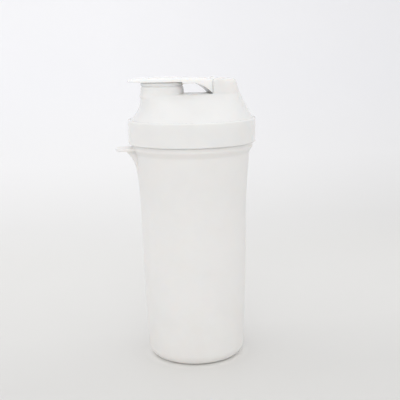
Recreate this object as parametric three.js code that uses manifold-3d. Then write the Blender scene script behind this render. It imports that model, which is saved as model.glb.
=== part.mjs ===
// Slim protein shaker bottle: a frosted drinking cup with a screw lid, a flip cap over the
// spout, its plug and hinge pin, a sealing ring and a snap-in strainer.
// Millimetres, +Z up. The origin is the centre of the cup's underside. The spout and the
// thumb tabs are on the -X side, the hinge tower is on the +X side.

import * as THREE from "three";
import { mergeVertices } from "three/addons/utils/BufferGeometryUtils.js";
import Module from "manifold-3d";

const wasm = await Module();
wasm.setup();

// ---- Driving dimensions ----
const GAP = 0.3; // clearance between neighbouring pieces
const OVERLAP = 0.3; // how far joined shapes reach into each other
const BEVEL = 0.5; // small moulded edges
const FAR = 60; // beyond every piece's side
const SIDES = 48; // facets round a large circle
const FINE_SIDES = 24; // facets round a small circle
const QUARTER = Math.PI / 2;

const CUP = {
  wall: 1.5,
  floor: 2.2,
  baseRadius: 35.5, // outside, just above the rounded base edge
  baseEdge: 8, // radius of the rounded base edge
  edgeSteps: 5,
  bulge: 0.35, // how far the side stands out from a straight draft at mid height
  draftTop: 128, // the draft ends and the flare begins
  draftTopRadius: 39.4,
  flareMiddle: 141,
  flareMiddleRadius: 40.5,
  flareRadius: 41.4, // where the wall meets the flange
  neckRadius: 41,
  neckInner: 39.2,
  neckInnerBottom: 151,
  flangeFoot: 151.3, // the flange swells out of the wall from here
  flangeBottom: 154.4,
  flangeTop: 158.3,
  flangeRadius: 43.7,
  rim: 172.4,
  padRadius: 19,
  footInner: 24,
  recess: 0.6, // depth of the groove round the base pad
};
const TAB = {
  tip: -55.4,
  width: 19.5,
  corner: 6.5,
  top: 156.3,
  thickness: 1.7,
  gussetFoot: 137,
  gussetBend: [-41.8, 148.8],
  gussetWidth: 13,
};
const THREAD = {
  pitch: 6,
  turns: 1.25,
  base: 2.6,
  crest: 1,
  start: 162.4, // middle of the cup's ridge at its lower end
  drop: 2, // the lid's ridge runs this far below the cup's
  cupCrest: 42.6,
  lidCrest: 41.5,
  steps: 48, // per turn
};
const LID = {
  bandBottom: 158.8,
  bandTop: 176.2,
  bandRadius: 46,
  bandInner: 43.4,
  edge: 0.6,
  wall: 1.6,
  foot: 175.5, // where the dome meets the band
  footRadius: 44.5,
  deckUnder: 174.6,
  domeRoom: 176.3, // the room inside the dome starts here
  collarOuter: 38.4,
  collarInner: 37,
  collarBottom: 165,
  shelf: 193.7, // floor of the finger gap
  spoutHalf: 15.7, // the dome's half width at the shelf, at the spout
  backHalf: 14, // and at the tower
};
const DOME_STEPS = [0.09, 0.2, 0.34, 0.5, 0.72, 1]; // shares of the dome's height
// how quickly the dome's outline draws in with height: 1 is straight, more is a hollow curve
const DOME_CURVE = { left: 2.6, right: 1.3, width: 1.08 };
const TOWER = {
  front: 13.8,
  back: 33.8, // at the shoulder, where the rounded top begins
  shoulder: 199.5,
  backAtTop: 29.5,
  halfAtTop: 13.2,
  top: 204.1,
  earSlope: 1.2, // angle on the barrel's circle where the ears' tops leave it
  roundSteps: [0.4, 0.7, 0.9, 1],
  roomHalf: 10.5,
  roomBack: 30,
};
const SPOUT = {
  x: -20.7,
  bore: 12.8,
  root: 15.7,
  boss: 15.1,
  bossTop: 199.2,
  neck: 14,
  lip: 15.3,
  lipMiddle: 200.9,
  lipTop: 202.2,
  boreDepth: 7, // how far below the shelf the bore is cleared
};
const HINGE = {
  x: 18,
  z: 200.8,
  barrel: 4.2,
  knuckle: 8, // half length
  ear: 8.3, // the ears' inner faces
  pin: 1.5,
  pinFrom: -11.7,
  pinTo: 12.6,
  hole: 1.6,
  holeFrom: -12,
  holeTo: 20,
  notch: 5.6, // room behind the axis for the opening knuckle
};
const CAP = {
  radius: 16.9,
  under: 202.5, // underside of the plate over the spout
  top: 205.6,
  rear: 13.5,
  rearHalf: 13.5,
  armFront: -8.2, // where the thick arm begins
  armUnder: 201.3,
  armCurve: -1.7, // from here its underside curves down to the hinge
  armBend: [7.5, 200.3],
  topBend: -3.7,
  lipRoom: 16, // the arm keeps this far from the spout's axis
  gussetFoot: 194.3,
  tabTip: -45.3,
  tabWidth: 17,
  tabBlunt: 5, // length of the tab's rounded end
  tabUnder: 202.8,
  tabTop: 204.3,
  bossOuter: 9.6,
  bossInner: 7.6,
  bossBottom: 199.5,
};
const PLUG = { top: 12.45, bottom: 12.2, inner: 9.9, under: 197.8, floor: 199.2 };
const SEAL = { inner: 38.7, outer: 43.1, bottom: 172.7, top: 174.3, bevel: 0.4 };
const STRAINER = {
  radius: 36.7,
  inner: 34.6,
  bottom: 167.8,
  top: 171,
  floor: 168.2,
  grid: 1.4, // thickness of the pierced floor
  pitch: 7.4,
  hole: 5.4,
  rim: 0.8, // solid floor left beside the ring
};

// ---- Solid helpers ----

/** A three.js geometry as a manifold solid with its faces pointing out. */
function solid(geometry) {
  const bare = geometry.clone();
  bare.deleteAttribute("normal");
  bare.deleteAttribute("uv");
  const merged = mergeVertices(bare, 1e-4);
  const position = merged.attributes.position;
  const kept = [];
  for (let i = 0; i < merged.index.count; i += 3) {
    const [a, b, c] = [0, 1, 2].map((k) => merged.index.getX(i + k));
    if (a !== b && b !== c && c !== a) kept.push(a, b, c);
  }
  const corner = (i) => new THREE.Vector3().fromBufferAttribute(position, i);
  let volume = 0;
  for (let i = 0; i < kept.length; i += 3) {
    const [a, b, c] = [corner(kept[i]), corner(kept[i + 1]), corner(kept[i + 2])];
    volume += a.dot(b.cross(c));
  }
  if (volume < 0) kept.reverse();
  const mesh = new wasm.Mesh({
    numProp: 3,
    vertProperties: new Float32Array(position.array),
    triVerts: new Uint32Array(kept),
  });
  return new wasm.Manifold(mesh);
}

/** A body of revolution about a vertical axis at x, from [radius, height] points. */
function turned(points, x = 0, sides = SIDES) {
  const profile = points.map(([radius, height]) => new THREE.Vector2(radius, height));
  const geometry = new THREE.LatheGeometry(profile, sides);
  geometry.rotateX(Math.PI / 2);
  geometry.translate(x, 0, 0);
  return solid(geometry);
}

/** A plan outline raised from one height to another. */
function raised(shape, bottom, top) {
  const geometry = new THREE.ExtrudeGeometry(shape, { depth: top - bottom, bevelEnabled: false });
  geometry.translate(0, 0, bottom);
  return solid(geometry);
}

/** A side outline in X and Z, given thickness along Y from one place to another. */
function crosswise(shape, low, high) {
  const geometry = new THREE.ExtrudeGeometry(shape, {
    depth: high - low,
    bevelEnabled: false,
    curveSegments: 8,
  });
  geometry.rotateX(Math.PI / 2);
  geometry.translate(0, high, 0);
  return solid(geometry);
}

function polygon(points) {
  return new THREE.Shape(points.map(([x, y]) => new THREE.Vector2(x, y)));
}

/** A round bar along Y about the hinge axis. */
function hingeBar(radius, low, high) {
  const geometry = new THREE.CylinderGeometry(radius, radius, high - low, FINE_SIDES);
  geometry.translate(HINGE.x, (low + high) / 2, HINGE.z);
  return solid(geometry);
}

/** The point of a convex outline round two circles whose outward normal has this angle. */
function aroundTwoCircles(left, leftRadius, right, rightRadius, angle) {
  const [nx, ny] = [Math.cos(angle), Math.sin(angle)];
  const useLeft = left * nx + leftRadius > right * nx + rightRadius;
  const [centre, radius] = useLeft ? [left, leftRadius] : [right, rightRadius];
  return [centre + radius * nx, radius * ny];
}

/** A closed body whose plan outline changes with height. */
function lofted(heights, outline) {
  const rows = heights.length - 1;
  const geometry = new THREE.CylinderGeometry(1, 1, 1, SIDES, rows);
  geometry.rotateX(Math.PI / 2);
  const position = geometry.attributes.position;
  for (let i = 0; i < position.count; i++) {
    const [x, y, z] = [position.getX(i), position.getY(i), position.getZ(i)];
    const height = heights[Math.round((z + 0.5) * rows)];
    const onAxis = Math.hypot(x, y) < 0.5;
    const [px, py] = onAxis ? [0, 0] : outline(height, Math.atan2(y, x));
    position.setXYZ(i, px, py, height);
  }
  return solid(geometry);
}

/** A thread ridge: a tapered bar wound into a right-hand helix. */
function threadRidge(rootRadius, crestRadius, start) {
  const [base, crest] = [THREAD.base / 2, THREAD.crest / 2];
  const section = polygon([
    [-base, rootRadius],
    [base, rootRadius],
    [crest, crestRadius],
    [-crest, crestRadius],
  ]);
  const steps = Math.round(THREAD.steps * THREAD.turns);
  const geometry = new THREE.ExtrudeGeometry(section, { depth: 1, steps, bevelEnabled: false });
  const position = geometry.attributes.position;
  for (let i = 0; i < position.count; i++) {
    const [axial, radius, along] = [position.getX(i), position.getY(i), position.getZ(i)];
    const turn = along * THREAD.turns;
    const angle = turn * 2 * Math.PI;
    const height = start + turn * THREAD.pitch + axial;
    position.setXYZ(i, radius * Math.cos(angle), radius * Math.sin(angle), height);
  }
  return solid(geometry);
}

const parts = new THREE.Group();

/** Adds a solid to the assembly as one named mesh. */
function add(name, body, color, roughness, extra = {}) {
  const { vertProperties, triVerts } = body.getMesh();
  const geometry = new THREE.BufferGeometry();
  geometry.setAttribute("position", new THREE.BufferAttribute(vertProperties, 3));
  geometry.setIndex(new THREE.BufferAttribute(triVerts, 1));
  geometry.computeVertexNormals();
  const material = new THREE.MeshStandardMaterial({ color, roughness, metalness: 0, ...extra });
  const mesh = new THREE.Mesh(geometry, material);
  mesh.name = name;
  parts.add(mesh);
}

// ---- Cup ----

/** The outside radius half way up the draft, and its height. */
function draftMiddle() {
  const straight = (CUP.baseRadius + CUP.draftTopRadius) / 2;
  return [straight + CUP.bulge, (CUP.baseEdge + CUP.draftTop) / 2];
}

/** A quarter round edge from the floor up to the wall, as [radius, height] points. */
function roundedEdge(outer, edge, bottom) {
  return Array.from({ length: CUP.edgeSteps + 1 }, (_, i) => {
    const angle = (i / CUP.edgeSteps) * QUARTER;
    return [outer - edge + edge * Math.sin(angle), bottom + edge * (1 - Math.cos(angle))];
  });
}

/** The cup's outside from the centre of its foot to the top of its neck. */
function cupOutside() {
  return [
    [0, 0],
    [CUP.padRadius, 0],
    [CUP.padRadius + CUP.recess, CUP.recess],
    [CUP.footInner - CUP.recess, CUP.recess],
    [CUP.footInner, 0],
    ...roundedEdge(CUP.baseRadius, CUP.baseEdge, 0),
    draftMiddle(),
    [CUP.draftTopRadius, CUP.draftTop],
    [CUP.flareMiddleRadius, CUP.flareMiddle],
    [CUP.flareRadius, CUP.flangeFoot],
    [CUP.flangeRadius - BEVEL, CUP.flangeBottom],
    [CUP.flangeRadius, CUP.flangeBottom + BEVEL * 2],
    [CUP.flangeRadius, CUP.flangeTop - BEVEL],
    [CUP.flangeRadius - BEVEL, CUP.flangeTop],
    [CUP.neckRadius, CUP.flangeTop],
    [CUP.neckRadius, CUP.rim - BEVEL],
    [CUP.neckRadius - BEVEL, CUP.rim],
  ];
}

/** The cup's inside from the centre of its floor to the top of its neck. */
function cupInside() {
  const [middleRadius, middle] = draftMiddle();
  return [
    [0, CUP.floor],
    ...roundedEdge(CUP.baseRadius - CUP.wall, CUP.baseEdge - CUP.wall, CUP.floor),
    [middleRadius - CUP.wall, middle],
    [CUP.draftTopRadius - CUP.wall, CUP.draftTop],
    [CUP.neckInner, CUP.neckInnerBottom],
    [CUP.neckInner, CUP.rim - BEVEL],
    [CUP.neckInner + BEVEL, CUP.rim],
  ];
}

/** The tab under the lid, with its curved gusset. */
function cupTab() {
  const half = TAB.width / 2;
  const root = -CUP.neckRadius + OVERLAP;
  const centre = TAB.tip + TAB.corner;
  const plan = new THREE.Shape();
  plan.moveTo(root, -half);
  plan.lineTo(root, half);
  plan.lineTo(centre, half);
  plan.absarc(centre, half - TAB.corner, TAB.corner, QUARTER, QUARTER * 2);
  plan.absarc(centre, TAB.corner - half, TAB.corner, QUARTER * 2, QUARTER * 3);
  plan.closePath();
  const plate = raised(plan, TAB.top - TAB.thickness, TAB.top);
  const under = TAB.top - TAB.thickness + OVERLAP;
  const foot = -CUP.flareMiddleRadius + CUP.wall;
  const side = new THREE.Shape();
  side.moveTo(foot, TAB.gussetFoot);
  side.quadraticCurveTo(...TAB.gussetBend, centre, under);
  side.lineTo(foot, under);
  side.closePath();
  return plate.add(crosswise(side, -TAB.gussetWidth / 2, TAB.gussetWidth / 2));
}

function makeCup() {
  const above = CUP.rim + 1;
  const filled = turned([...cupOutside(), [0, CUP.rim]]).add(cupTab());
  const hollow = turned([...cupInside(), [CUP.neckInner + BEVEL, above], [0, above]]);
  const ridge = threadRidge(CUP.neckRadius - OVERLAP, THREAD.cupCrest, THREAD.start);
  add("cup", filled.subtract(hollow).add(ridge), 0xe4e2e0, 0.45, {
    transparent: true,
    opacity: 0.75,
  });
}

// ---- Lid shell ----

/** How far up the dome a height is, from 0 at its foot to 1 at the shelf. */
function rise(height) {
  return THREE.MathUtils.clamp((height - LID.foot) / (LID.shelf - LID.foot), 0, 1);
}

/** How far the dome reaches towards the spout at a height. */
function domeLeft(height) {
  const top = SPOUT.x - SPOUT.root;
  return top - (LID.footRadius + top) * (1 - rise(height)) ** DOME_CURVE.left;
}

/** How far the dome and the tower reach backwards at a height, rounded off at the top. */
function domeRight(height) {
  if (height > TOWER.shoulder) {
    const up = Math.min((height - TOWER.shoulder) / (TOWER.top - TOWER.shoulder), 1);
    return TOWER.backAtTop + (TOWER.back - TOWER.backAtTop) * Math.sqrt(1 - up * up);
  }
  const up = Math.max((height - LID.foot) / (TOWER.shoulder - LID.foot), 0);
  return TOWER.back + (LID.footRadius - TOWER.back) * (1 - up) ** DOME_CURVE.right;
}

/** The dome's plan outline at a height, drawn in by an inset on every side. */
function domeOutline(height, angle, inset = 0) {
  const fall = (1 - rise(height)) ** DOME_CURVE.width;
  const narrowing = THREE.MathUtils.clamp((height - LID.shelf) / (TOWER.top - LID.shelf), 0, 1);
  const leftHalf = LID.spoutHalf + (LID.footRadius - LID.spoutHalf) * fall;
  const backHalf = LID.backHalf + (LID.footRadius - LID.backHalf) * fall;
  const rightHalf = backHalf - (LID.backHalf - TOWER.halfAtTop) * narrowing;
  const left = domeLeft(height) + leftHalf;
  const right = Math.max(domeRight(height) - rightHalf, left);
  return aroundTwoCircles(left, leftHalf - inset, right, rightHalf - inset, angle);
}

/** The filled outer form: band, dome and tower before anything is cut away. */
function lidOuterForm() {
  const { bandRadius, bandBottom, bandTop, edge, foot, footRadius } = LID;
  const band = turned([
    [0, bandBottom],
    [bandRadius - edge, bandBottom],
    [bandRadius, bandBottom + edge],
    [bandRadius, bandTop - edge],
    [bandRadius - edge / 2, bandTop],
    [footRadius + edge / 2, bandTop],
    [footRadius, foot],
    [0, foot],
  ]);
  const heights = [
    foot - OVERLAP,
    ...DOME_STEPS.map((step) => THREE.MathUtils.lerp(foot, LID.shelf, step)),
    TOWER.shoulder,
    ...TOWER.roundSteps.map((step) => THREE.MathUtils.lerp(TOWER.shoulder, TOWER.top, step)),
    TOWER.top + 2,
  ];
  return band.add(lofted(heights, (height, angle) => domeOutline(height, angle)));
}

/** Everything above the shelf that isn't the tower, round the rounded tops of its ears. */
function aboveShelf() {
  const side = new THREE.Shape();
  side.moveTo(-FAR, LID.shelf);
  side.lineTo(TOWER.front, LID.shelf);
  side.lineTo(TOWER.front, HINGE.z);
  side.absarc(HINGE.x, HINGE.z, HINGE.barrel, QUARTER * 2, TOWER.earSlope, true);
  side.lineTo(HINGE.x + HINGE.barrel, TOWER.top);
  side.lineTo(FAR, TOWER.top);
  side.lineTo(FAR, TOWER.top + FAR);
  side.lineTo(-FAR, TOWER.top + FAR);
  side.closePath();
  return crosswise(side, -FAR, FAR);
}

/** The slot between the ears that the cap's knuckle turns in. */
function knuckleSlot() {
  const clear = HINGE.barrel + GAP;
  const above = TOWER.top + HINGE.barrel;
  const side = new THREE.Shape();
  side.moveTo(TOWER.front - 1, HINGE.z - clear);
  side.lineTo(HINGE.x, HINGE.z - clear);
  side.absarc(HINGE.x, HINGE.z, clear, -QUARTER, Math.asin(1 / clear));
  side.lineTo(HINGE.x + HINGE.notch - BEVEL, HINGE.z + 1);
  side.lineTo(HINGE.x + HINGE.notch, TOWER.top);
  side.lineTo(HINGE.x + HINGE.notch, above);
  side.lineTo(TOWER.front - 1, above);
  side.closePath();
  return crosswise(side, -HINGE.ear, HINGE.ear);
}

/** The spout, filled: a boss, then a groove under a rounded lip. */
function spoutForm() {
  const { x, root, boss, bossTop, neck, lip, lipMiddle, lipTop } = SPOUT;
  const bottom = LID.shelf - 1;
  return turned(
    [
      [0, bottom],
      [root, bottom],
      [boss, bossTop - BEVEL],
      [boss - BEVEL, bossTop],
      [neck, bossTop],
      [neck, bossTop + BEVEL / 2],
      [lip - BEVEL, lipMiddle - 1],
      [lip, lipMiddle],
      [lip - BEVEL / 2, lipTop - BEVEL],
      [lip - BEVEL * 1.5, lipTop],
      [0, lipTop],
    ],
    x,
  );
}

/** The room inside the lid: the cup's neck, the seal seat, the collar, dome and tower. */
function lidHollow() {
  const below = LID.bandBottom - 1;
  const neck = turned([
    [0, below],
    [LID.bandInner, below],
    [LID.bandInner, LID.deckUnder],
    [LID.collarOuter, LID.deckUnder],
    [LID.collarOuter, LID.collarBottom],
    [LID.collarInner, LID.collarBottom],
    [LID.collarInner, LID.domeRoom + OVERLAP],
    [0, LID.domeRoom + OVERLAP],
  ]);
  const ceiling = LID.shelf - LID.wall - GAP;
  const heights = [0, ...DOME_STEPS.slice(1)].map((step) => {
    return THREE.MathUtils.lerp(LID.domeRoom, ceiling, step);
  });
  const dome = lofted(heights, (height, angle) => domeOutline(height + LID.wall, angle, LID.wall));
  const towerCeiling = HINGE.z - HINGE.barrel - LID.wall - BEVEL;
  const towerRoom = polygon([
    [HINGE.x, ceiling - 2],
    [HINGE.x, towerCeiling],
    [TOWER.roomBack - 3, towerCeiling],
    [TOWER.roomBack, ceiling - 2],
  ]);
  return neck.add(dome).add(crosswise(towerRoom, -TOWER.roomHalf, TOWER.roomHalf));
}

function makeLidShell() {
  const [below, above] = [LID.shelf - SPOUT.boreDepth, SPOUT.lipTop + 1];
  const bore = turned(
    [
      [0, below],
      [SPOUT.bore, below],
      [SPOUT.bore, SPOUT.lipTop - BEVEL],
      [SPOUT.bore + BEVEL, above],
      [0, above],
    ],
    SPOUT.x,
  );
  const ridge = threadRidge(LID.bandInner + OVERLAP, THREAD.lidCrest, THREAD.start - THREAD.drop);
  const body = lidOuterForm()
    .subtract(aboveShelf())
    .add(spoutForm())
    .subtract(lidHollow())
    .subtract(bore)
    .subtract(knuckleSlot())
    .subtract(hingeBar(HINGE.hole, HINGE.holeFrom, HINGE.holeTo))
    .add(ridge);
  add("lid_shell", body, 0xf0f0f1, 0.4);
}

// ---- Flip cap, its plug and its pin ----

/** The plate in plan: round over the spout, narrowing to the hinge. */
function platePlan() {
  const points = Array.from({ length: SIDES }, (_, i) => {
    const angle = (i / SIDES) * QUARTER * 4;
    return aroundTwoCircles(SPOUT.x, CAP.radius, CAP.rear, CAP.rearHalf, angle);
  });
  return polygon(points);
}

/** The rounded thumb tab in plan, reaching back over the spout. */
function thumbPlan() {
  const half = CAP.tabWidth / 2;
  const blunt = CAP.tabTip + CAP.tabBlunt;
  const plan = new THREE.Shape();
  plan.moveTo(SPOUT.x, -half);
  plan.lineTo(SPOUT.x, half);
  plan.lineTo(blunt, half);
  plan.quadraticCurveTo(CAP.tabTip, half - BEVEL, CAP.tabTip, 0);
  plan.quadraticCurveTo(CAP.tabTip, BEVEL - half, blunt, -half);
  plan.closePath();
  return plan;
}

/** The cap from the side: thumb tab, plate, and the arm with its curved underside. */
function capSide() {
  const [plateLeft, tip] = [SPOUT.x - CAP.radius, CAP.tabTip - 1];
  const side = new THREE.Shape();
  side.moveTo(tip, CAP.tabUnder);
  side.lineTo(plateLeft, CAP.tabUnder);
  side.lineTo(plateLeft, CAP.under);
  side.lineTo(CAP.armFront, CAP.under);
  side.lineTo(CAP.armFront, CAP.armUnder);
  side.lineTo(CAP.armCurve, CAP.armUnder);
  side.quadraticCurveTo(...CAP.armBend, CAP.rear - BEVEL, CAP.gussetFoot);
  side.lineTo(CAP.rear, CAP.gussetFoot);
  side.lineTo(CAP.rear, TOWER.top);
  side.quadraticCurveTo(CAP.topBend, CAP.top, SPOUT.x, CAP.top);
  side.quadraticCurveTo(plateLeft, CAP.top, tip, CAP.tabTop);
  side.closePath();
  return side;
}

function makeFlipCap() {
  const webTop = TOWER.top - BEVEL / 10;
  const web = polygon([
    [CAP.rear - 2, HINGE.z - HINGE.barrel],
    [HINGE.x, HINGE.z - HINGE.barrel],
    [HINGE.x, webTop],
    [CAP.rear - 2, webTop],
  ]);
  const boss = turned(
    [
      [CAP.bossInner, CAP.bossBottom],
      [CAP.bossOuter, CAP.bossBottom],
      [CAP.bossOuter, CAP.under + OVERLAP],
      [CAP.bossInner, CAP.under + OVERLAP],
      [CAP.bossInner, CAP.bossBottom],
    ],
    SPOUT.x,
    FINE_SIDES,
  );
  const [below, above] = [LID.shelf, CAP.top + 1];
  const lipRoom = turned(
    [[0, below], [CAP.lipRoom, below], [CAP.lipRoom, CAP.under], [0, CAP.under]],
    SPOUT.x,
  );
  const plan = raised(platePlan(), below, above).add(raised(thumbPlan(), below - 1, above + 1));
  const body = crosswise(capSide(), -FAR, FAR)
    .intersect(plan)
    .subtract(lipRoom)
    .add(crosswise(web, -HINGE.knuckle, HINGE.knuckle))
    .add(hingeBar(HINGE.barrel, -HINGE.knuckle, HINGE.knuckle))
    .add(boss)
    .subtract(hingeBar(HINGE.hole, -FAR, FAR));
  add("flip_cap", body, 0xeeeeef, 0.42);
}

/** A soft cup-shaped plug pushed over the ring under the cap. */
function makeSpoutPlug() {
  const top = CAP.under - GAP;
  const body = turned(
    [
      [0, PLUG.under],
      [PLUG.bottom - BEVEL, PLUG.under],
      [PLUG.bottom, PLUG.under + BEVEL],
      [PLUG.top, top],
      [PLUG.inner, top],
      [PLUG.inner, PLUG.floor],
      [0, PLUG.floor],
    ],
    SPOUT.x,
  );
  add("spout_plug", body, 0xe9e8e6, 0.6);
}

function makeHingePin() {
  add("hinge_pin", hingeBar(HINGE.pin, HINGE.pinFrom, HINGE.pinTo), 0xe6e6e4, 0.35);
}

// ---- Seal and strainer ----

function makeSeal() {
  const { inner, outer, bottom, top, bevel } = SEAL;
  const body = turned([
    [inner, bottom],
    [outer - bevel, bottom],
    [outer, bottom + bevel],
    [outer, top - bevel],
    [outer - bevel, top],
    [inner, top],
    [inner, bottom],
  ]);
  add("lid_seal", body, 0xdedddb, 0.7);
}

/** A ring with a pierced floor that breaks up lumps of powder. */
function makeStrainer() {
  const { radius, inner, bottom, top, floor, grid, pitch, hole, rim } = STRAINER;
  const ring = turned([
    [inner, bottom],
    [radius, bottom],
    [radius, top],
    [inner, top],
    [inner, bottom],
  ]);
  const floorRadius = inner + OVERLAP;
  let body = ring.add(
    turned([[0, floor], [floorRadius, floor], [floorRadius, floor + grid], [0, floor + grid]]),
  );
  const reach = Math.floor(inner / pitch);
  for (let i = -reach; i <= reach; i++) {
    for (let j = -reach; j <= reach; j++) {
      const corner = Math.hypot(Math.abs(i) * pitch + hole / 2, Math.abs(j) * pitch + hole / 2);
      if (corner < inner - rim) {
        const cutter = new THREE.BoxGeometry(hole, hole, grid * 3);
        cutter.translate(i * pitch, j * pitch, floor + grid / 2);
        body = body.subtract(solid(cutter));
      }
    }
  }
  add("strainer", body, 0xe8e8e8, 0.5);
}

makeCup();
makeLidShell();
makeFlipCap();
makeSpoutPlug();
makeHingePin();
makeSeal();
makeStrainer();

export default parts;
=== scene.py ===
"""Protein shaker bottle: the shown surfaces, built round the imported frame.

Shapes are worked out in millimetres in the frame's own axes and scaled once, in make_piece().
"""

import math

import bpy
import numpy as np
from mathutils import Matrix, Vector


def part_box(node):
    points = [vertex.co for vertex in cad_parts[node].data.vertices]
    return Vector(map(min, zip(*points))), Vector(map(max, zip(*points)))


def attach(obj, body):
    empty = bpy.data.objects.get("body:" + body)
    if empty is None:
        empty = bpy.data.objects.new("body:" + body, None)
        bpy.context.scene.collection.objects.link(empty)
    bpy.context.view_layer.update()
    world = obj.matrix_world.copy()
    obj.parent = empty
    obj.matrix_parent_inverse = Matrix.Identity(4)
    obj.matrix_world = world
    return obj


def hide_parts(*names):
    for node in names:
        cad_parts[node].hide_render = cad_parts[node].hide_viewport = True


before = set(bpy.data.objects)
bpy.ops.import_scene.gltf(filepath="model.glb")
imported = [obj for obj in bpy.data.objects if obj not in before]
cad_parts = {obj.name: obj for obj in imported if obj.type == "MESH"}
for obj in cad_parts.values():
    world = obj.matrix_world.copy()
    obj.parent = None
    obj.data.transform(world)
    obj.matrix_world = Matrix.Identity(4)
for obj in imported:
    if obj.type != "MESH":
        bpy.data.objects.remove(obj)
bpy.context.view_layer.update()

MM = 0.001


def cad(node):
    """A CAD node's lowest and highest corners in millimetres."""
    low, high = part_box(node)
    return np.array(low) / MM, np.array(high) / MM


CUP_LOW, CUP_HIGH = cad("cup")
LID_LOW, LID_HIGH = cad("lid_shell")
PLUG_LOW, PLUG_HIGH = cad("spout_plug")
PIN_LOW, PIN_HIGH = cad("hinge_pin")
SEAL_LOW, SEAL_HIGH = cad("lid_seal")
STRAINER_LOW, STRAINER_HIGH = cad("strainer")

CAP_TIP = cad("flip_cap")[0][0]
SPOUT_X = (PLUG_LOW[0] + PLUG_HIGH[0]) / 2
HINGE_X = (PIN_LOW[0] + PIN_HIGH[0]) / 2
HINGE_Z = (PIN_LOW[2] + PIN_HIGH[2]) / 2
RIM = CUP_HIGH[2]
BAND_RADIUS = LID_HIGH[1]
BAND_BOTTOM = LID_LOW[2]
BAND_TOP = BAND_BOTTOM + 17.4
DOME_FOOT = BAND_TOP - 0.7
SHELF = BAND_TOP + 17.5
LIP_TOP = SHELF + 8.5
EAR_RADIUS = 4.2
TOWER_TOP = HINGE_Z + 3.3
TOWER_FRONT = HINGE_X - EAR_RADIUS
CAP_UNDER = LIP_TOP + 0.3
KNUCKLE_HALF = 8.0
PIN_BORE = 1.6
PITCH = 6.0
THREAD_TURNS = 1.25


# ---- Mesh helpers ----


def make_piece(name, points, faces, body, node, material, sharp=None):
    """A mesh object from millimetre points, riding on its body and standing for its CAD node."""
    mesh = bpy.data.meshes.new(name)
    points = np.asarray(points, np.float64) * MM
    mesh.from_pydata(points.tolist(), [], faces)
    mesh.validate()
    mesh.update()
    mesh.shade_smooth()
    if sharp is not None:
        mesh.set_sharp_from_angle(angle=math.radians(sharp))
    piece = bpy.data.objects.new(name, mesh)
    bpy.context.scene.collection.objects.link(piece)
    mesh.materials.append(material)
    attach(piece, body)
    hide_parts(node)
    return piece


def ring_faces(rows, columns, start=0):
    """Quads between successive closed rings of points."""
    faces = []
    for i in range(rows - 1):
        for j in range(columns):
            k = (j + 1) % columns
            a, b = start + i * columns, start + (i + 1) * columns
            faces.append((a + j, a + k, b + k, b + j))
    return faces


def capped_rings(rings):
    """Closed mesh from rings (rows x columns x 3); the first and last ring close on a middle point."""
    rings = np.asarray(rings)
    rows, columns = rings.shape[:2]
    points = rings.reshape(-1, 3)
    faces = ring_faces(rows, columns)
    ends = np.array([rings[0].mean(0), rings[-1].mean(0)])
    first, last = rows * columns, rows * columns + 1
    base = (rows - 1) * columns
    for j in range(columns):
        k = (j + 1) % columns
        faces.append((first, k, j))
        faces.append((last, base + j, base + k))
    return np.vstack([points, ends]), faces


def closed_rings(rings):
    """Closed mesh from rings whose last row joins the first, as round a torus."""
    rings = np.asarray(rings)
    rows, columns = rings.shape[:2]
    faces = ring_faces(rows, columns)
    base = (rows - 1) * columns
    for j in range(columns):
        k = (j + 1) % columns
        faces.append((base + j, base + k, k, j))
    return rings.reshape(-1, 3), faces


def turned(profile, angles, centre=(0.0, 0.0)):
    """Rings of a body of revolution from [radius, height] rows."""
    profile = np.asarray(profile, float)
    r, z = profile[:, :1], profile[:, 1:2]
    x = centre[0] + r * np.cos(angles)
    y = centre[1] + r * np.sin(angles)
    return np.stack([x, y, np.broadcast_to(z, x.shape)], axis=-1)


def arc(centre, radius, start, end, steps):
    """Points on a circle in the (radius, height) plane, in degrees."""
    t = np.radians(np.linspace(start, end, steps))
    return np.stack([centre[0] + radius * np.cos(t), centre[1] + radius * np.sin(t)], axis=1)


def smoothstep(t):
    t = np.clip(t, 0, 1)
    return t * t * (3 - 2 * t)


def smin(a, b, k):
    """The lower of two fields with a fillet of about k."""
    h = np.maximum(k - np.abs(a - b), 0) / k
    return np.minimum(a, b) - h * h * k / 4


def smax(a, b, k):
    """The higher of two fields with a rounding of about k."""
    return -smin(-a, -b, k)


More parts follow.
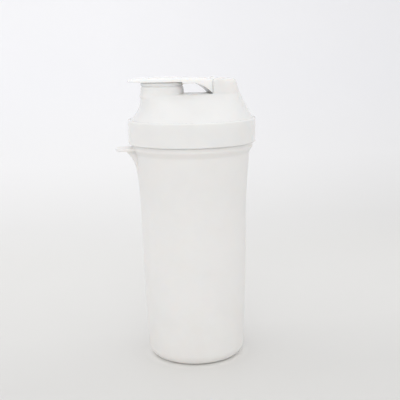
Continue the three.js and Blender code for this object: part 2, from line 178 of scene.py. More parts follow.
def surface_net(field, xs, ys, zs, steps=8):
    """The zero surface of a field (negative inside) as an even quad mesh, drawn onto the exact surface."""
    values = field(xs[:, None, None], ys[None, :, None], zs[None, None, :])
    values = np.broadcast_to(values, (len(xs), len(ys), len(zs)))
    inside = values < 0
    n = np.array(inside.shape)
    count = np.zeros(n - 1, np.int8)
    for dx in (0, 1):
        for dy in (0, 1):
            for dz in (0, 1):
                count += inside[dx : n[0] - 1 + dx, dy : n[1] - 1 + dy, dz : n[2] - 1 + dz]
    i, j, k = np.nonzero((count > 0) & (count < 8))
    index = np.full(n - 1, -1, np.int64)
    index[i, j, k] = np.arange(len(i))
    axes = (xs, ys, zs)
    total, hits = np.zeros((len(i), 3)), np.zeros(len(i))
    for axis in range(3):
        others = [a for a in range(3) if a != axis]
        for d1 in (0, 1):
            for d2 in (0, 1):
                low = [i.copy(), j.copy(), k.copy()]
                low[others[0]] += d1
                low[others[1]] += d2
                high = [c.copy() for c in low]
                high[axis] += 1
                f0, f1 = values[tuple(low)], values[tuple(high)]
                cross = (f0 < 0) != (f1 < 0)
                t = np.where(cross, f0 / np.where(cross, f0 - f1, 1), 0)
                at = np.stack([axes[a][low[a]] for a in range(3)], axis=1).astype(float)
                at[:, axis] += t * (axes[axis][high[axis]] - axes[axis][low[axis]])
                total += at * cross[:, None]
                hits += cross
    points = total / hits[:, None]
    step = 0.02
    for _ in range(steps):
        x, y, z = points.T
        f = field(x, y, z)
        g = np.stack(
            [
                field(x + step, y, z) - field(x - step, y, z),
                field(x, y + step, z) - field(x, y - step, z),
                field(x, y, z + step) - field(x, y, z - step),
            ],
            axis=1,
        ) / (2 * step)
        move = -f[:, None] * g / np.maximum((g * g).sum(1), 0.05)[:, None]
        length = np.linalg.norm(move, axis=1)
        points = points + move * np.minimum(1, 0.25 / np.maximum(length, 1e-9))[:, None]
    quads = []
    for axis in range(3):
        u, v = (axis + 1) % 3, (axis + 2) % 3
        low = [slice(None)] * 3
        high = [slice(None)] * 3
        low[axis], high[axis] = slice(0, n[axis] - 1), slice(1, n[axis])
        a, b = inside[tuple(low)], inside[tuple(high)]
        edge = np.nonzero(a != b)
        edge = [np.asarray(e) for e in edge]
        outward = a[tuple(edge)]
        corners = []
        for du, dv in ((-1, -1), (0, -1), (0, 0), (-1, 0)):
            cell = [e.copy() for e in edge]
            cell[u] += du
            cell[v] += dv
            corners.append(index[tuple(cell)])
        quad = np.stack(corners, axis=1)
        quad[~outward] = quad[~outward][:, ::-1]
        quads.append(quad)
    return points, np.vstack(quads).tolist()


# ---- Materials ----


def add_node(tree, kind, **values):
    """A shader node, with some of its inputs or properties set."""
    made = tree.nodes.new(kind)
    for key, value in values.items():
        if key in made.inputs:
            made.inputs[key].default_value = value
        else:
            setattr(made, key, value)
    return made


def map_range(tree, value, source, result, interpolation="LINEAR"):
    """The output that follows a value from one pair of ends to another."""
    ends = dict(zip(("From Min", "From Max", "To Min", "To Max"), source + result))
    mapped = add_node(tree, "ShaderNodeMapRange", interpolation_type=interpolation, **ends)
    tree.links.new(value, mapped.inputs["Value"])
    return mapped.outputs["Result"]


def noise(tree, vector, scale, detail, roughness):
    """The grey value of a noise texture at a place."""
    texture = add_node(tree, "ShaderNodeTexNoise", Scale=scale, Detail=detail, Roughness=roughness)
    tree.links.new(vector, texture.inputs["Vector"])
    return texture.outputs["Fac"]


def scaled(tree, vector, factor):
    """A vector or colour times a value."""
    product = add_node(tree, "ShaderNodeVectorMath", operation="SCALE")
    tree.links.new(vector, product.inputs[0])
    tree.links.new(factor, product.inputs["Scale"])
    return product.outputs["Vector"]


def uneven_colour(tree, place, colour, mottle):
    """A colour with soft clouds that are slightly darker and lighter."""
    tint = add_node(tree, "ShaderNodeValToRGB")
    low, high = tint.color_ramp.elements
    low.position, high.position = 0.35, 0.65
    low.color = (*[c * (1 - mottle) for c in colour], 1)
    high.color = (*[min(c * (1 + mottle * 0.5), 1) for c in colour], 1)
    tree.links.new(noise(tree, place, 38.0, 3.0, 0.55), tint.inputs["Fac"])
    return tint.outputs["Color"]


def grainy_normal(tree, place, grain, bump):
    """The normal of a satin grain laid over slow waves from moulding."""
    waves = add_node(tree, "ShaderNodeBump", Strength=0.1, Distance=0.0003)
    tree.links.new(noise(tree, place, 55.0, 1.0, 0.4), waves.inputs["Height"])
    fine = add_node(tree, "ShaderNodeBump", Strength=bump, Distance=grain / 3)
    tree.links.new(noise(tree, place, 1 / grain, 2.0, 0.5), fine.inputs["Height"])
    tree.links.new(waves.outputs["Normal"], fine.inputs["Normal"])
    return fine.outputs["Normal"]


def plastic(name, colour, roughness, grain=0.00045, bump=0.05, painted_low_shade=None, **sockets):
    """Moulded plastic: satin grain, waves from moulding, and slight unevenness of colour and gloss.

    Given (height, height, share), painted shade darkens the colour to that share down to the first height.
    """
    material = bpy.data.materials.new(name)
    material.use_nodes = True
    tree = material.node_tree
    tree.nodes.clear()
    output = add_node(tree, "ShaderNodeOutputMaterial")
    shader = add_node(tree, "ShaderNodeBsdfPrincipled")
    tree.links.new(shader.outputs["BSDF"], output.inputs["Surface"])
    for key, value in sockets.items():
        shader.inputs[key.replace("_", " ")].default_value = value
    shader.inputs["Subsurface Radius"].default_value = (1.0, 0.85, 0.75)

    place = add_node(tree, "ShaderNodeTexCoord").outputs["Object"]
    base = uneven_colour(tree, place, colour, 0.02)
    # painted shade: the colour darkens below the higher of the two given heights
    if painted_low_shade:
        low, high, share = painted_low_shade
        parts = add_node(tree, "ShaderNodeSeparateXYZ")
        tree.links.new(place, parts.inputs["Vector"])
        depth = map_range(tree, parts.outputs["Z"], (low, high), (share, 1.0), "SMOOTHSTEP")
        base = scaled(tree, base, depth)
    tree.links.new(base, shader.inputs["Base Color"])

    haze = noise(tree, place, 260.0, 4.0, 0.6)
    gloss = map_range(tree, haze, (0.0, 1.0), (roughness - 0.05, roughness + 0.05))
    tree.links.new(gloss, shader.inputs["Roughness"])
    tree.links.new(grainy_normal(tree, place, grain, bump), shader.inputs["Normal"])
    return material


FROSTED = plastic(
    "frosted_polypropylene",
    (0.97, 0.946, 0.924),
    0.38,
    bump=0.12,
    # painted shade near the table: 5% darker at the floor, fading out 60 mm up
    painted_low_shade=(0.0, 0.06, 0.95),
    Transmission_Weight=0.1,
    IOR=1.49,
    Subsurface_Weight=0.4,
    Subsurface_Scale=0.002,
)
# the lid and the cap are thick enough for light to spread a few millimetres in them
THICK_GLOW = {"IOR": 1.49, "Subsurface_Weight": 0.6, "Subsurface_Scale": 0.004}
LID_WHITE = plastic("lid_white_plastic", (0.862, 0.85, 0.838), 0.22, bump=0.03, **THICK_GLOW)
# painted light: the cap's white is made lighter than the lid's, against the shade on its rounded side
CAP_WHITE_PAINTED_LIGHT = plastic("cap_white_painted_light_plastic", (0.93, 0.922, 0.913), 0.22, bump=0.03, **THICK_GLOW)
STRAINER_WHITE = plastic("strainer_white_plastic", (0.85, 0.85, 0.85), 0.45, IOR=1.49)
PIN_PLASTIC = plastic("pin_plastic", (0.83, 0.83, 0.82), 0.3, grain=0.0003, IOR=1.5)
SOFT_PLUG = plastic(
    "soft_plug", (0.80, 0.79, 0.775), 0.62, grain=0.0006, bump=0.2, Sheen_Weight=0.08, IOR=1.45
)
SILICONE = plastic(
    "seal_silicone",
    (0.74, 0.735, 0.725),
    0.6,
    grain=0.0006,
    bump=0.2,
    IOR=1.41,
    Subsurface_Weight=0.3,
    Subsurface_Scale=0.002,
)


# ---- Cup ----

FOOT_FLAT, FOOT_ROUNDING = 27.5, 8.0
WALL_HEIGHTS = (FOOT_ROUNDING, 68.0, 128.0, 141.0, 151.3)
WALL_RADII = (35.5, 37.8, 39.4, 40.5, 41.4)
ROOM_FLOOR, ROOM_ROUNDING = 2.2, 6.5
ROOM_HEIGHTS = (ROOM_FLOOR + ROOM_ROUNDING, 68.0, 128.0, 139.5, 151.0, 160.0, 168.0)
ROOM_RADII = (34.0, 36.3, 37.9, 38.75, 39.2, 39.2, 39.2)
TAB_HALF, TAB_CORNER = 9.75, 6.5
TAB_UNDER, TAB_TOP = 154.6, 156.3
GUSSET_HALF = 5.9
GUSSET_CURVE = ((39.6, 136.0), (41.9, 148.8), (49.2, 154.9))
FLANGE_EDGE, FLANGE_TOP = 43.7, 158.75
NECK_RADIUS = 41.0
CUP_THREAD_START, CUP_THREAD_DEPTH = 162.4, 1.6


def fine_angles():
    """Angles round the cup from the tab's direction, close together near the tab."""
    near = np.arange(-15.0, 15.0, 0.25)
    far = np.linspace(15.0, 345.0, 166)[:-1]
    return np.radians(180.0 + np.concatenate([near, far]))


def tab_reach(phi):
    """How far the tab's plan outline reaches along each direction, 0 beside it."""
    tip = -CUP_LOW[0]
    turn = np.radians(np.linspace(90, 0, 40))
    corner_x = tip - TAB_CORNER + TAB_CORNER * np.cos(turn)
    corner_y = TAB_HALF - TAB_CORNER + TAB_CORNER * np.sin(turn)
    x = np.concatenate([[30.0, 38.0, 42.0, 46.0], corner_x, [tip]])
    y = np.concatenate([[TAB_HALF] * 4, corner_y, [0.0]])
    angle, reach = np.arctan2(y, x), np.hypot(x, y)
    return np.interp(np.abs(phi), angle[::-1], reach[::-1], right=0.0)


def curve(places, values, at):
    """A smooth curve through a few given values (cubic, with slopes from the neighbours)."""
    places, values = np.asarray(places, float), np.asarray(values, float)
    slope = np.gradient(values, places)
    i = np.clip(np.searchsorted(places, at) - 1, 0, len(places) - 2)
    h = places[i + 1] - places[i]
    t = np.clip((at - places[i]) / h, 0, 1)
    a, b = 2 * t**3 - 3 * t**2 + 1, t**3 - 2 * t**2 + t
    c, d = -2 * t**3 + 3 * t**2, t**3 - t**2
    return a * values[i] + b * h * slope[i] + c * values[i + 1] + d * h * slope[i + 1]


def thread_height(theta, z, start, depth):
    """How far a right-hand thread ridge stands out at each angle and height, running out at its ends."""
    turn = np.mod(theta, 2 * np.pi) / (2 * np.pi)
    out = np.zeros(np.broadcast(theta, z).shape)
    for lap in (0, 1):
        t = turn + lap
        along = smoothstep(t / 0.05) * smoothstep((THREAD_TURNS - t) / 0.05)
        flank = smoothstep((1.3 - np.abs(z - start - PITCH * t)) / 0.8)
        out = np.maximum(out, depth * along * flank)
    return out


def cup_rows(theta):
    """The cup's profile at every angle, as rows of (radius, height) from the foot to the inner floor."""
    phi = np.mod(theta, 2 * np.pi) - np.pi
    flat = np.ones_like(theta)
    rows = []

    def plain(points):
        for r, z in points:
            rows.append((r * flat, z * flat))

    plain([(6, 0), (12, 0), (18.4, 0), (18.9, 0.06), (19.3, 0.35), (19.7, 0.55), (20.2, 0.6)])
    plain([(21.6, 0.6), (22.9, 0.6), (23.3, 0.55), (23.7, 0.3), (24.1, 0.05), (24.6, 0), (26, 0)])
    plain(arc((FOOT_FLAT, FOOT_ROUNDING), FOOT_ROUNDING, -90, -4, 22))

    reach = tab_reach(phi)
    t = np.linspace(0, 1, 60)[:, None]
    root, bend, tip = np.array(GUSSET_CURVE)
    gusset_r, gusset_z = ((1 - t) ** 2 * root + 2 * t * (1 - t) * bend + t**2 * tip).T

    def with_gusset(radius, z, k):
        """The wall's radius at a height, with the gusset's rib under the tab."""
        out = np.interp(z, gusset_z, gusset_r, left=30.0)
        y = np.abs(out * np.sin(phi))
        rib = out - 9.0 * np.maximum(y - GUSSET_HALF, 0) ** 1.6
        rib = np.where(np.abs(phi) < 0.6, rib, 0.0)
        return smax(radius * flat, rib, k)

    for z in np.concatenate([np.linspace(FOOT_ROUNDING, 128, 50), np.linspace(129.5, 150.9, 26)]):
        rows.append((with_gusset(curve(WALL_HEIGHTS, WALL_RADII, z), z, 1.6), z * flat))
    for r, z in ((41.45, 151.5), (41.75, 152.1), (42.15, 152.8), (42.6, 153.5), (42.95, 154.05)):
        rows.append((with_gusset(r, z, 1.2), z * flat))
    out = smax(FLANGE_EDGE * flat, reach, 1.6)
    tab = np.clip((out - FLANGE_EDGE) / 1.5, 0, 1)

    def mixed(tab_r, tab_z, r, z):
        """A row that follows the tab's edge where the tab stands out, and the flange elsewhere."""
        rows.append((tab_r * tab + r * (1 - tab), tab_z * tab + z * (1 - tab)))

    for share, r, z in ((0.12, 43.15, 154.4), (0.4, 43.3, 154.65), (0.7, 43.42, 154.9), (0.9, 43.5, 155.1)):
        near = with_gusset(43.2, TAB_UNDER, 0.8)
        wide = np.maximum(out - 0.75, near)
        mixed(near + (wide - near) * share, TAB_UNDER, r, z)
    middle, half = (TAB_UNDER + TAB_TOP) / 2, (TAB_TOP - TAB_UNDER) / 2
    for i, angle in enumerate((-65, -40, -15, 15, 40, 65)):
        tab_r = out - 0.75 + 0.75 * math.cos(math.radians(angle))
        tab_z = middle + half * math.sin(math.radians(angle))
        mixed(tab_r, tab_z, 43.55 + 0.03 * i, 155.25 + 0.12 * i)
    for share, z in ((0.0, 156.0), (0.3, 156.1), (0.6, 156.2), (0.85, 156.25), (1.0, 156.3)):
        mixed((out - 1.0) * (1 - share) + FLANGE_EDGE * share, TAB_TOP, FLANGE_EDGE, z)
    plain([(FLANGE_EDGE, 156.6), (FLANGE_EDGE, 157.3), (FLANGE_EDGE, FLANGE_TOP - 0.45)])
    plain([(43.69, FLANGE_TOP - 0.2), (43.64, FLANGE_TOP - 0.07), (43.5, FLANGE_TOP - 0.01)])
    plain([(42.6, FLANGE_TOP), (41.8, FLANGE_TOP), (41.4, FLANGE_TOP + 0.03)])
    plain([(41.12, FLANGE_TOP + 0.17), (NECK_RADIUS, FLANGE_TOP + 0.35)])
    for z in np.linspace(FLANGE_TOP + 0.45, RIM - 0.6, 46):
        ridge = thread_height(theta, z, CUP_THREAD_START, CUP_THREAD_DEPTH)
        rows.append((NECK_RADIUS + ridge, z * flat))
    plain([(40.97, RIM - 0.4), (40.85, RIM - 0.18), (40.6, RIM - 0.04), (40.3, RIM)])
    plain([(39.8, RIM), (39.55, RIM - 0.06), (39.33, RIM - 0.22), (39.22, RIM - 0.45)])
    for z in np.concatenate([np.linspace(RIM - 1.5, 128, 40), np.linspace(125, 9.5, 48)]):
        rows.append((curve(ROOM_HEIGHTS, ROOM_RADII, z) * flat, z * flat))
    plain(arc((FOOT_FLAT, ROOM_HEIGHTS[0]), ROOM_ROUNDING, 0, -90, 20))
    plain([(24, ROOM_FLOOR), (16, ROOM_FLOOR), (8, ROOM_FLOOR)])
    return np.array(rows)


def build_cup():
    theta = fine_angles()
    rows = cup_rows(theta)
    r, z = rows[:, 0], rows[:, 1]
    rings = np.stack([r * np.cos(theta), r * np.sin(theta), z], axis=-1)
    points, faces = capped_rings(rings)
    return make_piece("cup_body", points, faces, "cup", "cup", FROSTED)


# ---- Lid ----

LID_WALL = 1.6
DOME_RADIUS = 44.5
SHOULDER = TOWER_TOP - 4.6
TOWER_HALF = 14.0
TOWER_BACK, TOWER_CROWN = 33.8, 29.5
BACK_LEAN = 0.39
BOSS_RADIUS, BOSS_HEIGHT = 15.7, 5.5
GROOVE_RADIUS, LIP_RADIUS = 14.5, 15.3
BORE_RADIUS, BORE_DEPTH = 12.8, 7.0
NECK_ROOM_RADIUS, NECK_ROOM_TOP = 43.4, 174.6
COLLAR_INNER, COLLAR_OUTER, COLLAR_BOTTOM, COLLAR_ROOM_TOP = 37.0, 38.4, 165.0, 176.6
CEILING = SHELF - 1.9
TOWER_ROOM_HALF, TOWER_ROOM_TOP = 10.5, 194.5
LID_THREAD_START, LID_THREAD_DEPTH = 160.4, 1.9


def hull(x, y, left, left_half, right, right_half):
    """Distance in plan to the outline round two circles of different sizes."""
    reach = np.maximum(right - left, 1e-3)
    b = np.clip((left_half - right_half) / reach, -0.999, 0.999)
    a = np.sqrt(1 - b * b)
    u, v = x - left, np.abs(y)
    k = a * u - b * v
    near = np.hypot(u, v) - left_half
    far = np.hypot(u - reach, v) - right_half
    side = a * v + b * u - left_half
    return np.where(k < 0, near, np.where(k > a * reach, far, side))


def dome(x, y, z, inset=0.0):
    """Plan distance to the dome's outline at each height, drawn in by an inset."""
    rise = np.clip((z - DOME_FOOT) / (SHELF - DOME_FOOT), 0, 1)
    narrow = np.clip((z - SHELF) / (TOWER_TOP - SHELF), 0, 1)
    fall = (1 - rise) ** 1.08
    left_half = BOSS_RADIUS + (DOME_RADIUS - BOSS_RADIUS) * fall
    right_half = TOWER_HALF + (DOME_RADIUS - TOWER_HALF) * fall - 0.8 * narrow
    top_left = SPOUT_X - BOSS_RADIUS
    left = top_left - (DOME_RADIUS + top_left) * (1 - rise) ** 2.6 + left_half
    up = np.clip((z - DOME_FOOT) / (SHOULDER - DOME_FOOT), 0, 1)
    back = TOWER_BACK + (DOME_RADIUS - TOWER_BACK) * (1 - up) ** 1.3
    over = np.clip((z - SHOULDER) / (TOWER_TOP - SHOULDER), 0, 1)
    back = back - (TOWER_BACK - TOWER_CROWN) * (1 - np.sqrt(1 - over * over * 0.98))
    right = np.maximum(back - right_half, left)
    return hull(x, y, left, left_half - inset, right, right_half - inset)


def tower_side(x, z):
    """The tower seen from the side: a front face, rounded ears and a level top (negative inside)."""
    round_ear = np.hypot(x - HINGE_X, z - HINGE_Z) - EAR_RADIUS
    front = np.maximum(TOWER_FRONT - x, z - HINGE_Z)
    top = np.maximum(z - TOWER_TOP, HINGE_X - x)
    slope = ((x - HINGE_X) * BACK_LEAN + z - HINGE_Z) / math.hypot(1, BACK_LEAN) - EAR_RADIUS
    behind = np.maximum(slope, np.maximum(HINGE_X - x, x - HINGE_X - 5))
    behind = np.maximum(behind, z - HINGE_Z - EAR_RADIUS)
    return smin(smin(round_ear, np.minimum(front, behind), 0.3), top, 0.5)


def spout(x, y, z):
    """The spout, filled: a boss, then a groove under a rounded lip."""
    r = np.hypot(x - SPOUT_X, y)
    rooted = SHELF - 1.5 - z
    taper = 0.6 * (z - SHELF) / BOSS_HEIGHT
    boss = np.maximum(smax(r - BOSS_RADIUS + taper, z - SHELF - BOSS_HEIGHT, 0.9), rooted)
    neck = np.maximum(r - GROOVE_RADIUS, rooted)
    lip = smax(r - LIP_RADIUS, np.abs(z - LIP_TOP + 1.1) - 1.15, 0.7)
    slim = smax(smin(neck, lip, 0.4), z - LIP_TOP - 0.12, 0.35)
    return smin(boss, slim, 0.25)


def lid_outside(x, y, z):
    """The lid without its hollows: the band with a low upstand, the dome, the tower and the spout."""
    r = np.hypot(x, y)
    band = smax(smax(r - BAND_RADIUS, z - BAND_TOP, 0.9), smax(BAND_BOTTOM - z, 40.0 - r, 0.5), 0.9)
    filled_below = np.where(z < DOME_FOOT, -9.0, 0.0)
    band = smax(band, DOME_RADIUS + 0.25 - r + filled_below, 0.3)
    disc = np.maximum(r - DOME_RADIUS - 0.1, np.maximum(z - DOME_FOOT, BAND_BOTTOM - z))
    wall = np.maximum(dome(x, y, z), DOME_FOOT - 3 - z)
    keep = smin(z - SHELF, tower_side(x, z), 0.5)
    beside_cap = smoothstep((z - SHELF - 0.6) / 1.2) * smoothstep((HINGE_Z + 2.2 - z) / 1.6)
    edge = 1.3 - 1.05 * beside_cap * smoothstep((TOWER_FRONT + 3.2 - x) / 1.6)
    body = smin(disc, smax(wall, keep, edge), 0.5)
    body = smin(body, spout(x, y, z), 1.2)
    return smax(np.minimum(body, band), BAND_BOTTOM - z, 0.6)


def lid_rooms(x, y, z):
    """The lid's hollows: round the cup's neck, inside the collar, under the dome and in the tower."""
    r = np.hypot(x, y)
    neck_room = np.maximum(r - NECK_ROOM_RADIUS, z - NECK_ROOM_TOP)
    collar = np.maximum(np.maximum(COLLAR_INNER - r, r - COLLAR_OUTER), COLLAR_BOTTOM - z)
    neck_room = smax(neck_room, -collar, 0.3)
    collar_room = np.maximum(r - COLLAR_INNER, z - COLLAR_ROOM_TOP)
    dome_room = np.maximum(z - CEILING, BAND_TOP - z)
    dome_room = np.maximum(dome(x, y, z + LID_WALL, LID_WALL), dome_room)
    tower_room = np.maximum(np.abs(y) - TOWER_ROOM_HALF, np.maximum(HINGE_X - x, z - TOWER_ROOM_TOP))
    tower_room = np.maximum(tower_room, x - (30.0 - 3.0 * (z - CEILING + 2) / 5))
    tower_room = np.maximum(tower_room, CEILING - 2 - z)
    return smin(smin(neck_room, collar_room, 0.3), smin(dome_room, tower_room, 0.8), 0.3)


def knuckle_slot(x, y, z):
    """The room between the ears for the cap's knuckle, open behind to let the cap turn."""
    from_pin = np.hypot(x - HINGE_X, z - HINGE_Z)
    slot = np.minimum(from_pin - EAR_RADIUS - 0.3, np.maximum(x - HINGE_X, HINGE_Z - EAR_RADIUS - 0.3 - z))
    notch = np.maximum(HINGE_Z + 1 - z, x - (HINGE_X + 5.1 + 0.15 * (z - HINGE_Z)))
    slot = np.minimum(slot, np.maximum(notch, HINGE_X - x))
    return np.maximum(slot, np.maximum(np.abs(y) - KNUCKLE_HALF - 0.3, TOWER_FRONT - 3 - x))


def lid_field(x, y, z):
    """The lid shell, negative inside."""
    body = smax(lid_outside(x, y, z), -lid_rooms(x, y, z), 0.5)
    from_spout = np.hypot(x - SPOUT_X, y)
    body = smax(body, -np.maximum(from_spout - BORE_RADIUS, SHELF - BORE_DEPTH - z), 0.6)
    body = smax(body, -knuckle_slot(x, y, z), 0.4)
    pin_hole = np.maximum(np.hypot(x - HINGE_X, z - HINGE_Z) - PIN_BORE, -12.0 - y)
    body = smax(body, -pin_hole, 0.25)

    r = np.hypot(x, y)
    depth = thread_height(np.arctan2(y, x), z, LID_THREAD_START, LID_THREAD_DEPTH)
    ridge = np.maximum(NECK_ROOM_RADIUS - depth - r, r - NECK_ROOM_RADIUS - 0.6)
    ridge = np.maximum(ridge, BAND_BOTTOM + 0.3 - z)
    return smin(body, np.where(depth > 0.02, ridge, 1.0), 0.2)


def build_lid():
    xs = np.arange(-46.9, 47.0, 0.69)
    zs = np.concatenate(
        [np.arange(158.0, 160.4, 0.4), np.arange(160.6, 173.8, 0.9), np.arange(174.0, 205.8, 0.56)]
    )
    points, faces = surface_net(lid_field, xs, xs, zs)
    return make_piece("lid_body", points, faces, "lid", "lid_shell", LID_WHITE)


# ---- Flip cap, plug and pin ----

CAP_REAR = TOWER_FRONT - 0.14
PLATE_RADIUS, ARM_HALF, THUMB_HALF, THUMB_ROUNDING = 16.9, 13.5, 8.5, 9.5
CROWN_PLACES = (CAP_TIP - 1, -37.6, SPOUT_X - 4, -3.7, CAP_REAR + 1)
CROWN_HEIGHTS = (204.35, 205.2, 205.6, 205.2, 204.1)
ARM_FRONT, ARM_UNDER, ARM_CURVE = -8.2, 201.3, -1.7
LIP_ROOM = 16.0


def cap_plan(x, y):
    """Plan distance to the cap's outline: the round plate, the arm and the thumb tab."""
    plate = hull(x, y, SPOUT_X, PLATE_RADIUS, CAP_REAR, ARM_HALF)
    half = THUMB_HALF - 0.5 * np.clip((x - CAP_TIP - 5) / 5, -1, 0) ** 2
    bow = np.clip((CAP_TIP + 5 - x) / 5, 0, 1)
    tip = np.hypot(x - CAP_TIP - THUMB_ROUNDING, y * 0.75) - THUMB_ROUNDING
    thumb = smax(np.abs(y) - half + 3.0 * bow**3, tip, 1.5)
    thumb = np.where(x > CAP_TIP + THUMB_ROUNDING, np.abs(y) - THUMB_HALF, thumb)
    return smin(plate, np.maximum(thumb, x - SPOUT_X), 3.0)


def cap_knuckle(x, y, z):
    """The barrel round the pin and the web that joins it to the arm."""
    barrel = np.hypot(x - HINGE_X, z - HINGE_Z) - EAR_RADIUS
    web = np.abs(x - (CAP_REAR + HINGE_X) / 2 + 0.5) - 3.0
    web = np.maximum(web, np.abs(z - HINGE_Z - 0.45) - 2.75)
    lower = np.maximum(x - HINGE_X, CAP_REAR - 2 - x)
    lower = np.maximum(lower, np.abs(z - HINGE_Z + 0.45) - 3.75)
    return smax(smin(smin(barrel, web, 0.4), lower, 0.2), np.abs(y) - KNUCKLE_HALF, 0.4)


def cap_field(x, y, z):
    """The flip cap, negative inside."""
    from_spout = np.hypot(x - SPOUT_X, y)
    shell = smax(cap_plan(x, y), z - curve(CROWN_PLACES, CROWN_HEIGHTS, x), 1.4)
    plate_bottom = CAP_UNDER + 0.3 * smoothstep((-37.0 - x) / 1.5)
    t = np.clip((x - ARM_CURVE) / (CAP_REAR - 0.4 - ARM_CURVE), 0, 1)
    arm_bottom = ARM_UNDER - 7.0 * np.clip((t - 0.14) / 0.86, 0, 1) ** 1.9
    arm = smax(arm_bottom - z, smax(ARM_FRONT - x, LIP_ROOM - from_spout, 0.6), 0.6)
    body = smax(shell, smin(plate_bottom - z, arm, 0.6), 0.45)
    body = smax(body, x - CAP_REAR, 0.25)
    body = smin(body, cap_knuckle(x, y, z), 0.4)
    plug_ring = smax(np.abs(from_spout - 8.6) - 1.0, np.abs(z - CAP_UNDER + 1.2) - 1.8, 0.5)
    body = smin(body, plug_ring, 0.6)
    return smax(body, PIN_BORE - np.hypot(x - HINGE_X, z - HINGE_Z), 0.25)


def build_cap():
    xs = np.arange(-46.0, 23.0, 0.36)
    ys = np.arange(-17.6, 17.7, 0.36)
    zs = np.concatenate([np.arange(193.6, 199.6, 0.4), np.arange(199.7, 206.4, 0.28)])
    points, faces = surface_net(cap_field, xs, ys, zs)
    return make_piece("cap_body", points, faces, "cap", "flip_cap", CAP_WHITE_PAINTED_LIGHT)


def build_plug():
    """A soft cup-shaped plug with two sealing ribs."""
    low, high = PLUG_LOW[2], PLUG_HIGH[2]
    angles = np.linspace(0, 2 * np.pi, 129)[:-1]
    outside = [(4, low), (9, low)]
    outside += arc((11.6, low + 0.6), 0.6, -90, -10, 7).tolist()
    for z in np.linspace(low + 0.8, high - 0.5, 26):
        taper = 12.2 + 0.12 * (z - low) / (high - low)
        rib = max(0.0, math.cos((z - low - 1.2) * math.pi / 1.6)) ** 2 * 0.12
        outside.append((taper + rib, z))
    outside += arc((12.05, high - 0.4), 0.4, 0, 90, 5).tolist()
    inside = [(11.0, high), (10.3, high), (10.0, high - 0.1), (9.9, high - 0.4), (9.9, low + 1.9)]
    inside += [(9.8, low + 1.6), (9.5, low + 1.42), (9.0, low + 1.4), (4, low + 1.4)]
    points, faces = capped_rings(turned(outside + inside, angles, (SPOUT_X, 0)))
    return make_piece("plug_body", points, faces, "cap", "spout_plug", SOFT_PLUG)


def build_pin():
    """The hinge pin with chamfered ends."""
    low, high = PIN_LOW[1], PIN_HIGH[1]
    radius = (PIN_HIGH[2] - PIN_LOW[2]) / 2 - 0.02
    angles = np.linspace(0, 2 * np.pi, 49)[:-1]
    rows = [(0.5, low), (0.9, low), (1.15, low + 0.05), (1.35, low + 0.2), (radius, low + 0.5)]
    rows += [(radius, y) for y in np.linspace(low + 1, high - 1, 12)]
    rows += [(radius, high - 0.5), (1.35, high - 0.2), (1.15, high - 0.05), (0.9, high), (0.5, high)]
    rings = turned(rows, angles)
    rings = np.stack([HINGE_X + rings[..., 1], rings[..., 2], HINGE_Z + rings[..., 0]], axis=-1)
    points, faces = capped_rings(rings)
    return make_piece("pin_body", points, faces, "lid", "hinge_pin", PIN_PLASTIC)


# ---- Seal and strainer ----

SEAL_INNER, SEAL_BEAD = 38.72, 41.0
RING_MIDDLE, RING_HALF = 35.65, 1.05
GRID_RADIUS, GRID_HALF = 35.0, 0.7
HOLE_PITCH, HOLE_HALF, HOLE_REACH = 7.4, 2.7, 33.8


def build_seal():
    """A flat silicone ring with rounded edges and a raised bead on both faces."""
    low, high = SEAL_LOW[2], SEAL_HIGH[2]
    outer, inner, middle = SEAL_HIGH[0] - 0.02, SEAL_INNER, (low + high) / 2

    def bead(r):
        return 0.25 * math.exp(-(((r - SEAL_BEAD) / 0.55) ** 2))

    profile = arc((outer - 0.5, low + 0.5), 0.5, -90, 0, 6).tolist()
    profile += arc((outer - 0.5, high - 0.5), 0.5, 0, 90, 6).tolist()
    for r in np.linspace(outer - 0.9, inner + 0.9, 18):
        profile.append((r, high - 0.25 + bead(r)))
    profile += arc((inner + 0.35, middle), 0.35, 120, 240, 5).tolist()
    for r in np.linspace(inner + 0.9, outer - 0.9, 18):
        profile.append((r, low + 0.25 - bead(r)))
    angles = np.linspace(0, 2 * np.pi, 193)[:-1]
    points, faces = closed_rings(turned(profile, angles))
    return make_piece("seal_body", points, faces, "seal_ring", "lid_seal", SILICONE)


def strainer_field(x, y, z):
    """The strainer's ring and pierced floor, negative inside."""
    low, high = STRAINER_LOW[2], STRAINER_HIGH[2]
    r = np.hypot(x, y)
    ring = smax(np.abs(r - RING_MIDDLE) - RING_HALF, np.maximum(low - z, z - high), 0.6)
    grid = np.maximum(r - GRID_RADIUS, np.abs(z - low - 1.1) - GRID_HALF)
    middle_x, middle_y = np.round(x / HOLE_PITCH) * HOLE_PITCH, np.round(y / HOLE_PITCH) * HOLE_PITCH
    cell = smax(np.abs(x - middle_x), np.abs(y - middle_y), 1.6) - HOLE_HALF
    corner = np.hypot(np.abs(middle_x) + HOLE_HALF, np.abs(middle_y) + HOLE_HALF)
    hole = np.where(corner < HOLE_REACH, cell, 2.0)
    return smin(ring, smax(grid, -hole, 0.45), 0.5)


def build_strainer():
    xs = np.arange(-37.3, 37.4, 0.45)
    zs = np.arange(STRAINER_LOW[2] - 0.7, STRAINER_HIGH[2] + 0.8, 0.36)
    points, faces = surface_net(strainer_field, xs, xs, zs)
    return make_piece(
        "strainer_body", points, faces, "strainer", "strainer", STRAINER_WHITE
    )


# ---- Stage, light and camera ----


# painted light round the foot: how far it reaches, and how much lighter the paper is there
FOOT_REACH, FOOT_PAINTED_LIGHT = 0.031, 1.19
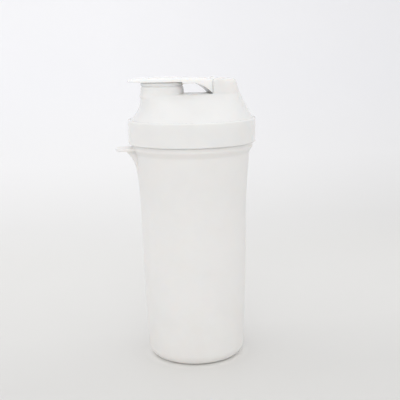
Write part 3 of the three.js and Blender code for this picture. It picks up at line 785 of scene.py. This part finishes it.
# distance along the paper from under the bottle, and how light it is there: the paper's pale tone with
# painted light and shade
PAPER_TONE_AND_PAINTED_LIGHT = (
    (-0.6, 0.68),
    (-0.06, 0.72),
    (0.05, 0.78),
    (0.2, 0.815),
    (0.45, 0.845),
    (0.66, 0.92),
    (0.85, 0.93),
    (1.15, 0.955),
)
SWEEP_START, SWEEP_RADIUS = 0.35, 0.9
LAMP_COLOUR = (1.0, 0.99, 0.98)
CAMERA_PLACE, CAMERA_TARGET = Vector((-0.0923, -0.5811, 0.2255)), Vector((0.00494, 0.0, 0.1155))
CAMERA_ROLL = -0.02188


def paper_material():
    """Pale matt paper that takes its tone, with painted light and shade, from the mesh, and painted light
    close round the foot of the bottle.

    The photo hardly shows a contact shadow, and this painted light lifts it.
    """
    material = bpy.data.materials.new("table_paper")
    material.use_nodes = True
    tree = material.node_tree
    shader = tree.nodes["Principled BSDF"]
    shader.inputs["Roughness"].default_value = 0.6
    place = add_node(tree, "ShaderNodeTexCoord").outputs["Object"]
    tone = add_node(tree, "ShaderNodeVertexColor", layer_name="tone").outputs["Color"]
    fibre = map_range(tree, noise(tree, place, 6.0, 2.0, 0.5), (0.0, 1.0), (0.985, 1.0))
    flat = add_node(tree, "ShaderNodeVectorMath", operation="MULTIPLY")
    flat.inputs[1].default_value = (1.0, 1.0, 0.0)
    tree.links.new(place, flat.inputs[0])
    reach = add_node(tree, "ShaderNodeVectorMath", operation="LENGTH")
    tree.links.new(flat.outputs["Vector"], reach.inputs[0])
    # painted light: the paper made lighter close round the foot, lifting the contact shadow
    ring = (FOOT_REACH, FOOT_REACH + 0.01)
    painted_light = map_range(tree, reach.outputs["Value"], ring, (FOOT_PAINTED_LIGHT, 1.0), "SMOOTHSTEP")
    tree.links.new(scaled(tree, scaled(tree, tone, fibre), painted_light), shader.inputs["Base Color"])
    return material


def add_backdrop():
    """A pale table that sweeps up softly far behind the bottle, with painted light and shade in its tone:
    darker at the front and towards the right, lighter up the sweep.
    """
    side = np.linspace(-3.0, 3.0, 61)
    bend = np.linspace(0.05, 1.5, 30)
    track = [(y, 0.0, y) for y in np.linspace(-4.0, SWEEP_START, 88)]
    for t in bend:
        y = SWEEP_START + SWEEP_RADIUS * math.sin(t)
        track.append((y, SWEEP_RADIUS * (1 - math.cos(t)), SWEEP_START + SWEEP_RADIUS * t))
    track.append((1.27, 2.6, 3.4))
    points = [(x, y, z) for y, z, _ in track for x in side]
    along = np.array([s for _, _, s in track])
    # painted light and shade: the tone rises up the sweep and falls towards the right
    shade = np.interp(along, *zip(*PAPER_TONE_AND_PAINTED_LIGHT))[:, None]
    shade = shade - 0.155 * np.clip(side, 0, 0.6) * smoothstep(along / 0.4)[:, None]
    cool = np.interp(along, (0.3, 0.9), (0.0, 1.0))[:, None, None]
    tint = 1 + cool * np.array([-0.005, 0.0, 0.03]) - (1 - cool) * np.array([0.0, 0.003, 0.02])
    tones = shade[..., None] * tint
    n = len(side)
    faces = []
    for i in range(len(track) - 1):
        for j in range(n - 1):
            faces.append((i * n + j, i * n + j + 1, (i + 1) * n + j + 1, (i + 1) * n + j))
    mesh = bpy.data.meshes.new("backdrop")
    mesh.from_pydata(points, [], faces)
    layer = mesh.color_attributes.new("tone", "FLOAT_COLOR", "POINT")
    rgba = np.concatenate([tones, np.ones(tones.shape[:2] + (1,))], axis=-1)
    layer.data.foreach_set("color", rgba.astype(np.float32).ravel())
    mesh.shade_smooth()
    mesh.materials.append(paper_material())
    backdrop = bpy.data.objects.new("backdrop", mesh)
    bpy.context.scene.collection.objects.link(backdrop)


def add_light(name, place, target, size, power):
    data = bpy.data.lights.new(name, "AREA")
    data.shape = "RECTANGLE"
    data.size, data.size_y = size
    data.energy = power
    data.color = LAMP_COLOUR
    light = bpy.data.objects.new(name, data)
    light.location = place
    aim = Vector(target) - Vector(place)
    light.rotation_euler = aim.to_track_quat("-Z", "Y").to_euler()
    bpy.context.scene.collection.objects.link(light)


def add_world():
    world = bpy.data.worlds.new("studio")
    world.use_nodes = True
    background = world.node_tree.nodes["Background"]
    background.inputs["Color"].default_value = (0.995, 0.99, 0.985, 1)
    background.inputs["Strength"].default_value = 0.98
    bpy.context.scene.world = world


def add_camera():
    data = bpy.data.cameras.new("camera")
    data.lens = 73.24
    data.sensor_width = 36.0
    data.clip_start, data.clip_end = 0.01, 20.0
    camera = bpy.data.objects.new("camera", data)
    aim = (CAMERA_TARGET - CAMERA_PLACE).to_track_quat("-Z", "Y").to_matrix().to_4x4()
    roll = Matrix.Rotation(CAMERA_ROLL, 4, "Z")
    camera.matrix_world = Matrix.Translation(CAMERA_PLACE) @ aim @ roll
    bpy.context.scene.collection.objects.link(camera)
    bpy.context.scene.camera = camera


build_cup()
build_lid()
build_cap()
build_plug()
build_pin()
build_seal()
build_strainer()
add_backdrop()
add_world()
add_light("overhead", (-0.7, 0.2, 1.1), (0, 0, 0.12), (0.9, 0.9), 0.4)
add_light("key", (-0.2, -1.1, 0.93), (0, 0, 0.12), (0.6, 0.5), 2.05)
add_light("fill", (-0.8, -0.9, 0.25), (0, 0, 0.17), (0.6, 0.4), 0.3)
add_camera()

bpy.context.scene.view_settings.view_transform = "Standard"
